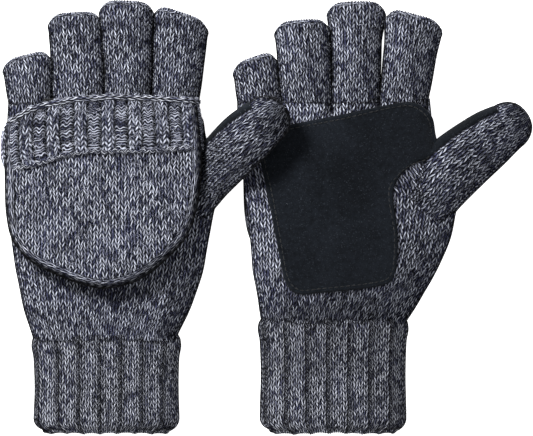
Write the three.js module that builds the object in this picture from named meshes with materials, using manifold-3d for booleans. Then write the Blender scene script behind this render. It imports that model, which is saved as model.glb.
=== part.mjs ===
// A pair of knitted flip-top mittens lying on a table: half-finger gloves with a hood that is sewn
// across the knuckles and folds back onto the hand or forward over the fingers.
// The left mitten lies palm down, and the right one palm up on its folded hood. The left thumb lies
// across the edge of the right palm. Millimetres, +Z up, fingers towards +Y, origin at the centre of
// the pair's footprint on the table.
import * as THREE from "three";
import { mergeVertices } from "three/addons/utils/BufferGeometryUtils.js";
import Module from "manifold-3d";

const wasm = await Module();
wasm.setup();

// ---- Driving dimensions -------------------------------------------------------------------------
const GAP = 0.3; // clearance between neighbouring pieces
const KNIT = 1.8; // wall of a knitted piece
const FLEECE = 0.8; // wall of a lining
const SUEDE = 1.2; // thickness of a suede patch
const TAPE = 0.6; // thickness of a hook or loop tab
const HAND_DEPTH = 18; // hand tube, palm to back
const FINGER_DEPTH = 13; // finger sleeve, palm to back
const CUFF_WALL = 3.4; // rib cuff, turned double
const KNUCKLE_Y = 65.5; // hinge line of the hood
const HOOD_BASE = 2 * TAPE + 3 * GAP; // underside of the hood above the back of the hand
const HOOD_DEPTH = 10.4; // hood pocket, outside
const BAND_LENGTH = 29; // turned-back rib band, along the hand
const SEAM_RADIUS = 0.85; // sewn knuckle seam
const HINGE_Z = HOOD_BASE + KNIT / 2;
const MITTEN_DEPTH = HOOD_BASE + HOOD_DEPTH + GAP + KNIT; // hood and band above the back

const SECTION_POINTS = 20; // points round the hand and the cuff
const FINGER_POINTS = 16; // points round a finger sleeve
const THUMB_POINTS = 16; // points round a thumb
const THUMB_STATIONS = 8; // lengths of thumb between its root and its domed tip
const ROUNDNESS = 2.3; // superellipse exponent of the hand and thumb sections

// Each mitten in its own frame: x from the middle of the cuff towards the thumb, z from the back of
// the hand, away from the palm. hand: [y, little-finger edge, thumb edge, palm depth, shift in z].
const LEFT = {
  name: "left",
  x: -89.2,
  z: HAND_DEPTH + GAP + SUEDE,
  facing: 1,
  palmFlat: true,
  cuff: { wrist: -66.5, end: -120, halfWidth: 40.6, shift: -1.1 },
  hand: [
    [-66.2, -39.6, 39.4, 9, 0],
    [-52, -44.4, 46.2, 9, 0],
    [-32, -48.6, 53.4, 9, 0],
    [-10, -52.6, 56.8, 9, 0],
    [14, -54.6, 55.8, 9, 0],
    [40, -55, 53.4, 8.6, 0],
    [65.2, -54.2, 51, 5.2, 0],
  ],
  fingers: {
    little: { base: -42.2, tip: -43.9, end: 88.6, widths: [23.6, 26.2], slant: 7 },
    ring: { base: -15.2, tip: -17.4, end: 112.8, widths: [28.4, 28.2], slant: 1.6 },
    middle: { base: 12.4, tip: 11.2, end: 118.6, widths: [25.2, 29.2], slant: -0.6 },
    index: { base: 38.2, tip: 41.6, end: 112.6, widths: [25.4, 28.4], slant: -6 },
  },
  thumb: {
    path: [
      [44, 11, -8.8],
      [59.4, 26.2, -3],
      [76, 42.4, 20.2],
      [89, 53.8, 26],
    ],
    halfWidths: [15.6, 16.4, 15.4, 12.8],
    halfDepths: [8, 8.2, 7.8, 7.4],
    roll: [8, 30, 18, 0],
    patch: [4, 8],
  },
  hood: { x: -1.7, halfWidth: 54.2 },
};

const RIGHT = {
  name: "right",
  x: 36.9,
  z: MITTEN_DEPTH,
  facing: -1,
  palmFlat: false,
  cuff: { wrist: -57, end: -120, halfWidth: 40.8, shift: 14.2 },
  hand: [
    [-56.7, -39.6, 40.8, 9, 7],
    [-45, -41.3, 48, 9, 2.4],
    [-30, -43.8, 56.4, 9, 0],
    [-12, -46.4, 63.2, 9, 0],
    [8, -48.8, 62.4, 9, 0],
    [38, -51.4, 56.4, 8.6, 0],
    [65.2, -52.8, 53.2, 5.2, 0],
  ],
  fingers: {
    little: { base: -40.6, tip: -43.4, end: 87.4, widths: [23.6, 23.4], slant: 6 },
    ring: { base: -14.6, tip: -17, end: 108.2, widths: [27.4, 28.4], slant: 2 },
    middle: { base: 12.6, tip: 13, end: 119, widths: [26, 31], slant: 0 },
    index: { base: 39.4, tip: 45.8, end: 110.6, widths: [26.8, 30.4], slant: -6 },
  },
  thumb: {
    path: [
      [47, 6, -9],
      [63.6, 23.6, -8],
      [85.6, 41, -4.5],
      [97.2, 49.6, -2.5],
    ],
    halfWidths: [17, 18, 16.2, 13.2],
    halfDepths: [8, 8.6, 8.2, 7.4],
    roll: [0, 0, 0, 0],
    patch: [2, 7],
  },
  hood: { x: 1.2, halfWidth: 51 },
};

// Outlines. The hood narrows from the band to its closed tip, as shares of its half width.
const HOOD_SIDE = [
  [20, 0.985],
  [0, 0.945],
  [-12, 0.865],
  [-22, 0.72],
  [-29, 0.54],
  [-35.2, 0.27],
];
const HOOD_TIP_Y = -38.2;
const HOOD_CORNER = { across: 27, down: 11 }; // slanted corner over the little finger

// The palm patch, from the finger end round by the thumb, measured from the right palm.
const PALM_PATCH = [
  [46, 63.6],
  [54.6, 56],
  [55, 44],
  [44.6, 30.4],
  [33.4, 17],
  [34.6, 3],
  [35.8, -14],
  [33.4, -32.6],
  [24, -38],
  [-8, -41.6],
  [-20, -42],
  [-26.4, -35.4],
  [-30.6, -17],
  [-36.6, 14],
  [-40.6, 35],
  [-38.4, 46.6],
  [-24.4, 51.4],
  [8, 58],
  [34, 63.4],
];

// ---- Materials ----------------------------------------------------------------------------------
const colours = {
  knit: { color: 0x5b5d6a, roughness: 0.95 },
  rib: { color: 0x565865, roughness: 0.95 },
  suede: { color: 0x15171a, roughness: 0.98 },
  fleece: { color: 0x30323a, roughness: 1 },
  tape: { color: 0x191a1d, roughness: 0.85 },
  thread: { color: 0x3c3e49, roughness: 0.9 },
};
const materials = Object.fromEntries(
  Object.entries(colours).map(([name, look]) => [
    name,
    new THREE.MeshStandardMaterial({ name, metalness: 0, ...look }),
  ]),
);

// ---- Solids -------------------------------------------------------------------------------------
// A closed geometry as a manifold solid, turned outwards if its faces point in.
function solid(geometry) {
  const bare = geometry.index ? geometry.toNonIndexed() : geometry.clone();
  bare.deleteAttribute("normal");
  bare.deleteAttribute("uv");
  const merged = mergeVertices(bare, 1e-4);
  const make = (triVerts) =>
    new wasm.Manifold(
      new wasm.Mesh({ numProp: 3, vertProperties: merged.attributes.position.array, triVerts }),
    );
  const triangles = new Uint32Array(merged.index.array);
  const made = make(triangles);
  if (made.volume() > 0) return made;
  for (let i = 0; i < triangles.length; i += 3) {
    [triangles[i + 1], triangles[i + 2]] = [triangles[i + 2], triangles[i + 1]];
  }
  return make(triangles);
}

// A manifold solid as a named mesh.
function part(name, made, material) {
  const { numProp, numVert, vertProperties, triVerts } = made.getMesh();
  const positions = new Float32Array(numVert * 3);
  for (let i = 0; i < numVert; i++) {
    positions.set(vertProperties.subarray(i * numProp, i * numProp + 3), i * 3);
  }
  const geometry = new THREE.BufferGeometry()
    .setAttribute("position", new THREE.BufferAttribute(positions, 3))
    .setIndex(new THREE.BufferAttribute(triVerts, 1));
  geometry.computeVertexNormals();
  const mesh = new THREE.Mesh(geometry, materials[material]);
  mesh.name = name;
  return mesh;
}

// A closed solid through rings of equally many points. Its ends are fans about their middles, or, for
// a band whose ring runs along one face and back along the other, strips between those faces.
function loft(rings, isBand = false) {
  const count = rings[0].length;
  const points = rings.flat();
  const index = [];
  for (let i = 0; i < count; i++) {
    const next = (i + 1) % count;
    for (let k = 0; k + 1 < rings.length; k++) {
      const [a, b] = [k * count + i, k * count + next];
      index.push(a, a + count, b, b, a + count, b + count);
    }
  }
  const end = (rings.length - 1) * count;
  if (isBand) {
    for (let i = 0; i + 1 < count / 2; i++) {
      const [a, b, c, d] = [i, i + 1, count - 1 - i, count - 2 - i];
      index.push(a, b, c, b, d, c, end + a, end + c, end + b, end + b, end + c, end + d);
    }
  } else {
    const middle = (ring) =>
      ring.reduce((sum, p) => sum.add(p), new THREE.Vector3()).divideScalar(count);
    const first = points.push(middle(rings[0])) - 1;
    const last = points.push(middle(rings.at(-1))) - 1;
    for (let i = 0; i < count; i++) {
      const next = (i + 1) % count;
      index.push(first, i, next, last, end + next, end + i);
    }
  }
  return solid(new THREE.BufferGeometry().setFromPoints(points).setIndex(index));
}

// A box between two corners, used to trim other solids.
function block(low, high) {
  const size = high.map((v, i) => v - low[i]);
  const box = new THREE.BoxGeometry(...size);
  box.translate(...low.map((v, i) => v + size[i] / 2));
  return solid(box);
}

// A smooth curve through [place, value, ...] rows, read at one place.
function between(rows, place, column) {
  const last = rows.length - 2;
  let k = rows.findIndex((row, i) => i === last || place <= rows[i + 1][0]);
  k = Math.max(0, k);
  const slope = (i) => {
    const [a, b] = [Math.max(0, i - 1), Math.min(rows.length - 1, i + 1)];
    return (rows[b][column] - rows[a][column]) / (rows[b][0] - rows[a][0]);
  };
  const span = rows[k + 1][0] - rows[k][0];
  const t = THREE.MathUtils.clamp((place - rows[k][0]) / span, 0, 1);
  const rise = t * t * (3 - 2 * t);
  return (
    rows[k][column] * (1 - rise) +
    rows[k + 1][column] * rise +
    slope(k) * span * t * (1 - t) ** 2 -
    slope(k + 1) * span * t * t * (1 - t)
  );
}

// A point of a superellipse of unit half axes.
function superellipse(angle, exponent = ROUNDNESS) {
  const soften = (v) => Math.sign(v) * Math.abs(v) ** (2 / exponent);
  return [soften(Math.cos(angle)), soften(Math.sin(angle))];
}

const angles = (count) => Array.from({ length: count }, (_, i) => (i / count) * 2 * Math.PI);

// ---- Hand and cuff ------------------------------------------------------------------------------
const BACK_SWELL = 2.4; // how far the section's curve would rise past the flattened back

// The hand's section at y, moved outwards by grow. The back is flattened under the hood, and a palm
// that rests on the table is flattened too.
function handRing(mitten, y, grow) {
  const [left, right, palm, shift] = [1, 2, 3, 4].map((c) => between(mitten.hand, y, c));
  const half = (right - left) / 2 + grow;
  const backDepth = HAND_DEPTH / 2;
  const palmSwell = mitten.palmFlat ? BACK_SWELL : 0;
  return angles(SECTION_POINTS).map((angle) => {
    const [across, up] = superellipse(angle);
    const back = Math.min((backDepth + BACK_SWELL + grow) * up, backDepth + grow);
    const front = Math.max((palm + palmSwell + grow) * up, -palm - grow);
    const z = -backDepth + shift + (up > 0 ? back : front);
    return new THREE.Vector3((left + right) / 2 + across * half, y, z);
  });
}

// The hand's tube, moved outwards by grow, and longer at each end by past. Every layer of the hand
// has its corners at the same places along it, so that the layers keep their distance.
function handBody(mitten, grow, past = 0) {
  const rows = mitten.hand.map((row) => row[0]);
  const midway = (rows[2] + rows[3]) / 2;
  const ends = [rows[0] - past, rows.at(-1) + past];
  const inner = past > 0 ? rows : rows.slice(1, -1);
  const stations = new Set([...inner, midway, ...ends]);
  return loft([...stations].sort((p, q) => p - q).map((y) => handRing(mitten, y, grow)));
}

function makeHand(mitten, thumb) {
  const past = 4; // a bore's tool runs past the ends that it opens
  const lining = -KNIT - GAP;
  return [
    part(
      `${mitten.name}_hand_shell`,
      handBody(mitten, 0).subtract(handBody(mitten, -KNIT, past)).subtract(thumb.bore),
      "knit",
    ),
    part(
      `${mitten.name}_hand_lining`,
      handBody(mitten, lining, -GAP)
        .subtract(handBody(mitten, lining - FLEECE, past))
        .subtract(thumb.bore),
      "fleece",
    ),
  ];
}

// The rib cuff is a straight tube whose turned edge rounds inwards. It comes down to the table.
function makeCuff(mitten) {
  const { wrist, end, halfWidth, shift } = mitten.cuff;
  const edge = 6; // length of the rounded turned edge
  const settling = 30; // length over which the cuff comes down to the table
  const halfDepth = HAND_DEPTH / 2 + 0.4;
  const handShift = mitten.hand[0][4];
  const ring = (y, shrink) => {
    const lift = THREE.MathUtils.lerp(handShift, shift, Math.min(1, (wrist - y) / settling));
    const intoEdge = THREE.MathUtils.clamp(1 - (y - end) / edge, 0, 0.98);
    const rounding = shrink ? 0 : edge * (1 - Math.sqrt(1 - intoEdge ** 2));
    const depth = halfDepth - shrink;
    return angles(SECTION_POINTS).map((angle) => {
      const [across, up] = superellipse(angle);
      const x = across * (halfWidth - shrink - rounding * 0.9);
      const z = up * (depth + 0.6 - rounding * 0.4);
      return new THREE.Vector3(x, y, THREE.MathUtils.clamp(z, -depth, depth) - HAND_DEPTH / 2 + lift);
    });
  };
  const rows = [end, end + edge * 0.3, end + edge, (wrist + end) / 2, wrist - settling, wrist];
  const inner = [end - edge, end + edge, (wrist + end) / 2, wrist - settling, wrist + edge];
  const tube = (places, shrink) => loft(places.sort((p, q) => p - q).map((y) => ring(y, shrink)));
  return part(`${mitten.name}_cuff`, tube(rows, 0).subtract(tube(inner, CUFF_WALL)), "rib");
}

// ---- Fingers and thumb --------------------------------------------------------------------------
// A half-finger sleeve: a tube open at both ends, its far edge slanted like the fingertip row.
function makeFinger(mitten, name) {
  const { base, tip, end, widths, slant } = mitten.fingers[name];
  const start = mitten.hand.at(-1)[0] + GAP;
  const tube = (shrink, past) => {
    return loft(
      [-past, 1 + past].map((t) => {
        const half = THREE.MathUtils.lerp(widths[0], widths[1], t) / 2 - shrink;
        return angles(FINGER_POINTS).map((angle) => {
          const [across, up] = superellipse(angle, 2.6);
          const y = THREE.MathUtils.lerp(start, end + slant * across * 0.5, t);
          const x = THREE.MathUtils.lerp(base, tip, t) + across * half;
          const z = -FINGER_DEPTH / 2 - 0.6 + up * (FINGER_DEPTH / 2 - shrink);
          return new THREE.Vector3(x, y, z);
        });
      }),
    );
  };
  return part(`${mitten.name}_${name}_sleeve`, tube(0, 0).subtract(tube(KNIT, 0.1)), "knit");
}

// The thumb's frame at t, and its half width and half depth there. The sideways direction points to
// the index finger, and roll turns it down towards the palm.
function thumbAt(thumb, t) {
  const curve = new THREE.CatmullRomCurve3(thumb.path.map((p) => new THREE.Vector3(...p)));
  const along = curve.getTangent(t);
  const read = (values) => between(values.map((v, i) => [i / (values.length - 1), v]), t, 1);
  const roll = THREE.MathUtils.degToRad(read(thumb.roll));
  const side = new THREE.Vector3(-along.y, along.x, 0).normalize().applyAxisAngle(along, -roll);
  return {
    place: curve.getPoint(t),
    along,
    side,
    up: new THREE.Vector3().crossVectors(side, along).negate().normalize(),
    width: read(thumb.halfWidths),
    depth: read(thumb.halfDepths),
  };
}

// A point of the thumb's skin, moved outwards by grow, on its section at station i.
function thumbPoint(thumb, i, angle, grow, out = 0, narrow = 1) {
  const { place, along, side, up, width, depth } = thumbAt(thumb, i / THUMB_STATIONS);
  const [across, high] = superellipse(angle);
  return place
    .addScaledVector(along, out)
    .addScaledVector(side, across * (width + grow) * narrow)
    .addScaledVector(up, high * (depth + grow) * narrow);
}

// The closed thumb as a solid with a domed tip, moved outwards by grow.
function thumbBody(thumb, grow) {
  const tipLength = thumb.halfWidths.at(-1) + grow;
  const shaft = Array.from({ length: THUMB_STATIONS + 1 }, (_, i) => [i, 0, 1]);
  const dome = [32, 58, 80].map((degrees) => {
    const angle = THREE.MathUtils.degToRad(degrees);
    return [THUMB_STATIONS, Math.sin(angle) * tipLength, Math.cos(angle)];
  });
  return loft(
    [...shaft, ...dome].map(([i, out, narrow]) =>
      angles(THUMB_POINTS).map((angle) => thumbPoint(thumb, i, angle, grow, out, narrow)),
    ),
  );
}

// The suede strip along the inner edge of the thumb, between two of its stations.
function thumbPatchBody(thumb) {
  const [from, to] = thumb.patch;
  const eachWay = 3; // sides of the thumb's section that it covers above and below its inner edge
  const sweep = angles(THUMB_POINTS)
    .slice(0, 2 * eachWay + 1)
    .map((angle) => angle - (eachWay / THUMB_POINTS) * 2 * Math.PI);
  return loft(
    Array.from({ length: to - from + 1 }, (_, k) => [
      ...sweep.map((angle) => thumbPoint(thumb, from + k, angle, GAP)),
      ...sweep.toReversed().map((angle) => thumbPoint(thumb, from + k, angle, GAP + SUEDE)),
    ]),
    true,
  );
}

const largest = (body) => body.decompose().sort((a, b) => b.volume() - a.volume())[0];

function makeThumb(mitten) {
  const { thumb } = mitten;
  const sleeve = thumbBody(thumb, 0)
    .subtract(thumbBody(thumb, -KNIT))
    .subtract(handBody(mitten, GAP));
  const patch = thumbPatchBody(thumb).subtract(handBody(mitten, 2 * GAP + SUEDE));
  return {
    bore: thumbBody(thumb, -KNIT - GAP),
    outside: thumbBody(thumb, GAP),
    parts: [
      part(`${mitten.name}_thumb_sleeve`, largest(sleeve), "knit"),
      part(`${mitten.name}_thumb_patch`, largest(patch), "suede"),
    ],
  };
}

// ---- Suede palm patch ---------------------------------------------------------------------------
function makePalmPatch(mitten, thumb) {
  const shift = mitten === LEFT ? -1.6 : 0; // the left palm lies a little further from its thumb
  const corners = PALM_PATCH.map(([x, y]) => new THREE.Vector3(x + shift, y, 0));
  const edge = new THREE.CatmullRomCurve3(corners, true, "centripetal").getPoints(30).slice(1);
  const outline = new THREE.Shape(edge.map(({ x, y }) => new THREE.Vector2(x, y)));
  const prism = new THREE.ExtrudeGeometry(outline, { depth: HAND_DEPTH, bevelEnabled: false });
  prism.translate(0, 0, -1.5 * HAND_DEPTH);
  const skin = handBody(mitten, GAP + SUEDE).subtract(handBody(mitten, GAP, 1));
  const patch = skin.intersect(solid(prism)).subtract(thumb.outside);
  return part(`${mitten.name}_palm_patch`, largest(patch), "suede");
}

// ---- Hood ---------------------------------------------------------------------------------------
const MOUTH_Y = KNUCKLE_Y - SEAM_RADIUS - GAP;
const HOOD_LENGTH = MOUTH_Y - HOOD_TIP_Y;

// The hood's outline, shrunk by inset towards the middle of its mouth, and longer there by past.
function hoodOutline(mitten, inset, past = 0) {
  const { x, halfWidth } = mitten.hood;
  const side = (sign) => HOOD_SIDE.map(([y, share]) => new THREE.Vector2(sign * halfWidth * share, y));
  const tip = new THREE.Vector2(0, HOOD_TIP_Y);
  const rim = new THREE.SplineCurve([...side(-1), tip, ...side(1).reverse()]).getPoints(20);
  const corner = (sign, y) => new THREE.Vector2(sign * halfWidth, y);
  const edge = [corner(-1, MOUTH_Y), ...rim, corner(1, MOUTH_Y)];
  if (past) edge.push(corner(1, MOUTH_Y + past), corner(-1, MOUTH_Y + past));
  const [scaleX, scaleY] = [1 - inset / halfWidth, 1 - inset / HOOD_LENGTH];
  return edge.map((p) => new THREE.Vector2(x + p.x * scaleX, MOUTH_Y + (p.y - MOUTH_Y) * scaleY));
}

// A pillow over the outline: full at its base, drawn in towards a flat top. A tool that opens
// another pillow runs past the mouth and below the base.
function pillow(mitten, inset, base, top, below = 0) {
  const rows = 4;
  const drawnIn = 11;
  const pastMouth = 12;
  const ring = (z, drawn) =>
    hoodOutline(mitten, inset + drawn, pastMouth).map((p) => new THREE.Vector3(p.x, p.y, z));
  const dome = Array.from({ length: rows + 1 }, (_, i) => {
    const angle = (i / rows) * (Math.PI / 2);
    return ring(base + (top - base) * Math.sin(angle), drawnIn * (1 - Math.cos(angle)));
  });
  return loft(below ? [ring(base - below, 0), ...dome] : dome);
}

// Everything behind the hood's mouth, whose corner slants over the little finger.
function behindMouth(mitten) {
  const { x, halfWidth } = mitten.hood;
  const { across, down } = HOOD_CORNER;
  const far = 200;
  const shape = new THREE.Shape([
    new THREE.Vector2(-far, -far),
    new THREE.Vector2(far, -far),
    new THREE.Vector2(far, MOUTH_Y),
    new THREE.Vector2(x - halfWidth + across, MOUTH_Y),
    new THREE.Vector2(x - halfWidth, MOUTH_Y - down),
    new THREE.Vector2(-far, MOUTH_Y - down),
  ]);
  return solid(new THREE.ExtrudeGeometry(shape, { depth: far, bevelEnabled: false }));
}

function makeHood(mitten) {
  const { name } = mitten;
  const floor = HOOD_BASE + KNIT + GAP;
  const top = HOOD_BASE + HOOD_DEPTH;
  const backShape = new THREE.Shape(hoodOutline(mitten, 0));
  const back = new THREE.ExtrudeGeometry(backShape, { depth: KNIT, bevelEnabled: false });
  back.translate(0, 0, HOOD_BASE);

  const behind = behindMouth(mitten);
  const shell = (outer, inner) => largest(outer.subtract(inner).intersect(behind));
  const inset = KNIT + GAP;
  const liningInset = inset + FLEECE;
  const front = shell(
    pillow(mitten, 0, floor, top),
    pillow(mitten, KNIT, floor, top - KNIT, 1),
  );
  const lining = shell(
    pillow(mitten, inset, floor, top - inset),
    pillow(mitten, liningInset, floor + FLEECE, top - liningInset),
  );

  const bandTurn = 5; // degrees: the band is deeper at the little finger
  const bandReach = block([-90, -BAND_LENGTH, 0], [90, 60, 2 * top])
    .rotate([0, 0, -bandTurn])
    .translate([mitten.hood.x, MOUTH_Y, 0]);
  const band = shell(
    pillow(mitten, -GAP - KNIT, floor, top + GAP + KNIT),
    pillow(mitten, -GAP, floor, top + GAP, 1),
  );
  return [
    part(`${name}_hood_back`, solid(back).intersect(behind), "knit"),
    part(`${name}_hood_front`, front, "knit"),
    part(`${name}_hood_lining`, lining, "fleece"),
    part(`${name}_rib_band`, band.intersect(bandReach), "rib"),
  ];
}

// The seam that joins the hood to the knuckles lies on the hinge line.
function makeSeam(mitten) {
  const [left, right] = [mitten.hood.x - mitten.hood.halfWidth, mitten.hood.x + mitten.hood.halfWidth];
  const from = left + HOOD_CORNER.across - 6;
  const length = right - 3 - from;
  const cord = new THREE.CylinderGeometry(SEAM_RADIUS, SEAM_RADIUS, length, 10);
  cord.rotateZ(Math.PI / 2);
  cord.translate(from + length / 2, KNUCKLE_Y, HINGE_Z);
  return part(`${mitten.name}_knuckle_seam`, solid(cord), "thread");
}

// The hook tab on the back of the hand, and the loop tab on the hood that it holds.
function makeTab(mitten, name, base) {
  const [width, length, corner] = [24, 14, 3];
  const shape = new THREE.Shape();
  const [w, l] = [width / 2, length / 2];
  shape.absarc(w - corner, l - corner, corner, 0, Math.PI / 2);
  shape.absarc(corner - w, l - corner, corner, Math.PI / 2, Math.PI);
  shape.absarc(corner - w, corner - l, corner, Math.PI, 1.5 * Math.PI);
  shape.absarc(w - corner, corner - l, corner, 1.5 * Math.PI, 2 * Math.PI);
  const tab = new THREE.ExtrudeGeometry(shape, { depth: TAPE, bevelEnabled: false, curveSegments: 3 });
  tab.translate(mitten.hood.x, HOOD_TIP_Y + 16, base);
  return part(`${mitten.name}_${name}_tab`, solid(tab), "tape");
}

// ---- Assembly -----------------------------------------------------------------------------------
function makeMitten(mitten) {
  const group = new THREE.Group();
  const thumb = makeThumb(mitten);
  group.add(
    ...makeHand(mitten, thumb),
    makeCuff(mitten),
    ...Object.keys(mitten.fingers).map((name) => makeFinger(mitten, name)),
    ...thumb.parts,
    makePalmPatch(mitten, thumb),
    makeSeam(mitten),
    makeTab(mitten, "hook", GAP),
    makeTab(mitten, "loop", 2 * GAP + TAPE),
    ...makeHood(mitten),
  );
  group.position.set(mitten.x, 0, mitten.z);
  group.scale.z = mitten.facing;
  return group;
}

const pair = new THREE.Group();
pair.add(makeMitten(LEFT), makeMitten(RIGHT));

export default pair;
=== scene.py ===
"""A pair of knitted flip-top mittens: marled wool with real stitches, suede palms and folded hoods.

Every knitted surface is a grid whose columns are wales and whose rows are courses. A stitch pattern
lifts the grid into yarn, and the same stitch coordinates, kept as UVs, colour each leg of each stitch.
Lengths are in millimetres in each mitten's own frame: x from the middle of its cuff towards the thumb,
y towards the fingertips, z up from the back of the hand.
"""
import math

import bpy
import numpy as np
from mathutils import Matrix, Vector
from mathutils.geometry import delaunay_2d_cdt


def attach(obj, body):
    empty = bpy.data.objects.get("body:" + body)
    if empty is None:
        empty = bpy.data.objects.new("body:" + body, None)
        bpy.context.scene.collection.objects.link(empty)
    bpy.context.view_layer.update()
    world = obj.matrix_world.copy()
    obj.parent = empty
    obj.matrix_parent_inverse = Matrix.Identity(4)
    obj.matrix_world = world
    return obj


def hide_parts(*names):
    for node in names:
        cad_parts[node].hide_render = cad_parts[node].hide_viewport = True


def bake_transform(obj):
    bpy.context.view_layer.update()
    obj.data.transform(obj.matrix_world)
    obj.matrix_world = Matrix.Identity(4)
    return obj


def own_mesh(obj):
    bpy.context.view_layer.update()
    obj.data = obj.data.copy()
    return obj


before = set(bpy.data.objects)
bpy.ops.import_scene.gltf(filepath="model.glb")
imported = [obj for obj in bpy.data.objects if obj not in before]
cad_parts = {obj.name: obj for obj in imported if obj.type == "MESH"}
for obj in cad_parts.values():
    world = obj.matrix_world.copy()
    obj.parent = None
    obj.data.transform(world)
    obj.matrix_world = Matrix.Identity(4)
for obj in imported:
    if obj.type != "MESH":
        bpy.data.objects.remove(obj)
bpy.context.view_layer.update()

# ---- Sizes ----
WALE = 3.4  # width of one stitch
COURSE = 2.7  # height of one stitch
ACROSS = 8  # grid cells in one wale
ALONG = 3  # grid cells in one course
SLANT = 2.9  # courses that a stitch's leg climbs across one wale
PURLS = 1.7  # purl bumps in one course
UNEVEN = 0.6  # courses by which one column of legs may slip past the next
LEG_HEIGHT = 1.3  # relief of a stitch
RIB_HEIGHT = 2.6  # relief of a rib
KNIT = 1.8
FLEECE = 0.8
SUEDE = 1.2
GAP = 0.3
HAND_DEPTH = 18
BACK_SWELL = 2.4
FINGER_DEPTH = 12
FINGER_ROUNDNESS = 2.1
FINGER_LIFT = {"little": 0.2, "ring": -0.8, "middle": 1.0, "index": -0.8}
FINGER_PLUMP = {"little": 0.3, "ring": 0.5, "middle": 0.0, "index": 0.2}
ROOT_SINK = 0.9  # how far the sleeves and the hand sink into each other where they join
SINK_SPAN = (63.8, 64.8)  # where the hand sinks under the finger sleeves
FINGER_CORNER = 3.2  # how far a sleeve's end drops at its two sides
FINGER_BASE_Y = 65.5
CUFF_WALL = 3.4
HOOD_BASE = 2.1
HOOD_TOP = 12.5
HOOD_SOFTNESS = 7.5  # width over which the hood swells up from its rim
HOOD_SQUARENESS = 4.6  # how upright the hood's wall is: 2 is a quarter circle
ROUNDNESS = 2.3
RIM_OVERHANG = 0.8  # how far the rolled rim stands out past the hood's seam
RIM_STRETCH = 1.7  # how much longer the stitches along the hood's rim are
HAND_WALES = 64
CUFF_RIBS = 15
CUFF_EDGE = 7  # radius of the cuff's lower corners
CUFF_SETTLING = 30  # length over which the cuff sinks to its own height
THUMB_WALES = 23
THUMB_LENGTH = 58  # from the thumb's root to its domed tip
THUMB_TIP = 16  # along the dome
RIM_WALES = 7
BAND_WALES = 34
PINCH_START, PINCH_END = 50, 66  # where the hand flattens into four finger roots
LINING_TOP = 50
SEAM_INSET = 2.6  # from the palm patch's edge to its line of stitches
SEAM_PITCH = 3.2
HOOD_REACH = 60  # half width of the grid that a hood panel is cut from
CHAIN_STITCH = 4.2
BAND_DEPTH = 30
BAND_EDGE = 1.5  # half thickness of the lower edge
BAND_FOLD = 2.2  # radius of the fold along the top edge
BAND_CORNER = 10.5  # width over which the band bends down at its ends
BAND_RIB_START = 3.1  # where in a rib the band's little-finger end begins, in wales
FUZZ_WIDTH = 0.11
FUZZ_LENGTH = (2, 5.5)
FUZZ_LIFT = (0.1, 0.9)
FUZZ_SEED = 11
HAND_HAIRS = 4500
FINGER_HAIRS = 3000
HOOD_HAIRS = 3500


def sleeve(base, tip, end, widths, slant, flare=0):
    """A finger sleeve: x of its middle at both ends, y of its end, its widths, and its end's slope."""
    return {"base": base, "tip": tip, "end": end, "widths": widths, "slant": slant, "flare": flare}


LEFT = {
    "name": "left",
    "x": -89.2,
    "z": 19.5,
    "facing": 1,
    "palm_flat": True,
    "cuff": {"wrist": -66.5, "end": -120, "half": 40.6, "shift": -1.1, "x": -0.6},
    "hand": [
        [-66.2, -40.8, 38.8, 9, 0], [-52, -45.4, 45.4, 9, 0], [-32, -49.4, 52.6, 9, 0],
        [-10, -52.8, 56.8, 9, 0], [3, -54, 59.4, 9, 0], [14, -54.6, 61.4, 9, 0],
        [40, -55, 53.4, 8.6, 0], [65.2, -54.2, 51, 5.2, 0],
    ],
    "fingers": {
        "little": sleeve(-42.2, -44.1, 90, [23.6, 26.4], 5.4),
        "ring": sleeve(-15.2, -17.4, 113.6, [28.4, 28.2], 1.4),
        "middle": sleeve(12.4, 11.2, 119.8, [25.2, 27.8], -0.6, 0.9),
        "index": sleeve(38.3, 41.5, 113.6, [25.8, 29.4], -8.5),
    },
    "thumb": {
        "path": [[44, 11, -8.8], [59.4, 26.2, -3], [76, 42.4, 22.2], [89, 53.8, 27.6]],
        "widths": [15.6, 15.6, 15.2, 13],
        "depths": [8, 8.2, 7.8, 7.4],
        "roll": [8, 30, 18, 0],
        "patch": [0.28, 0.84],
        "wrap": [-62, 44],
    },
    "hood": {"x": -1.7, "half": 54.2},
    "patch_shift": -1.6,
}
RIGHT = {
    "name": "right",
    "x": 36.9,
    "z": 14.6,
    "facing": -1,
    "palm_flat": False,
    "cuff": {"wrist": -57, "end": -120, "half": 40.8, "shift": 14.2, "x": -0.3},
    "hand": [
        [-56.7, -39.6, 40.8, 9, 7], [-45, -41.3, 48, 9, 2.4], [-30, -43.8, 56.4, 9, 0],
        [-12, -45.5, 64.4, 9, 0], [0, -46.9, 67.2, 9, 0], [12, -48.2, 68.6, 9, 0],
        [38, -51.4, 56.4, 8.6, 0], [65.2, -52.8, 53.2, 5.2, 0],
    ],
    "fingers": {
        "little": sleeve(-40.6, -43.4, 88.6, [23.6, 23.4], 6.4),
        "ring": sleeve(-14.6, -17.2, 108.8, [27.4, 28.8], 2),
        "middle": sleeve(12.6, 13, 119, [26, 28.2], 0, 1.7),
        "index": sleeve(39.2, 45, 112, [26.4, 28.8], -7, 0.8),
    },
    "thumb": {
        "path": [[47, 6, -9], [62.8, 24.2, -8], [84.5, 42.2, -4.5], [97.2, 50.9, -2.5]],
        "widths": [17, 17.8, 15.8, 13.2],
        "depths": [8, 8.6, 8.2, 7.4],
        "roll": [0, 0, 0, 0],
        "patch": [0.12, 0.84],
        "wrap": [-46, 62],
    },
    "hood": {"x": 1.2, "half": 51},
    "patch_shift": 0,
}

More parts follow.
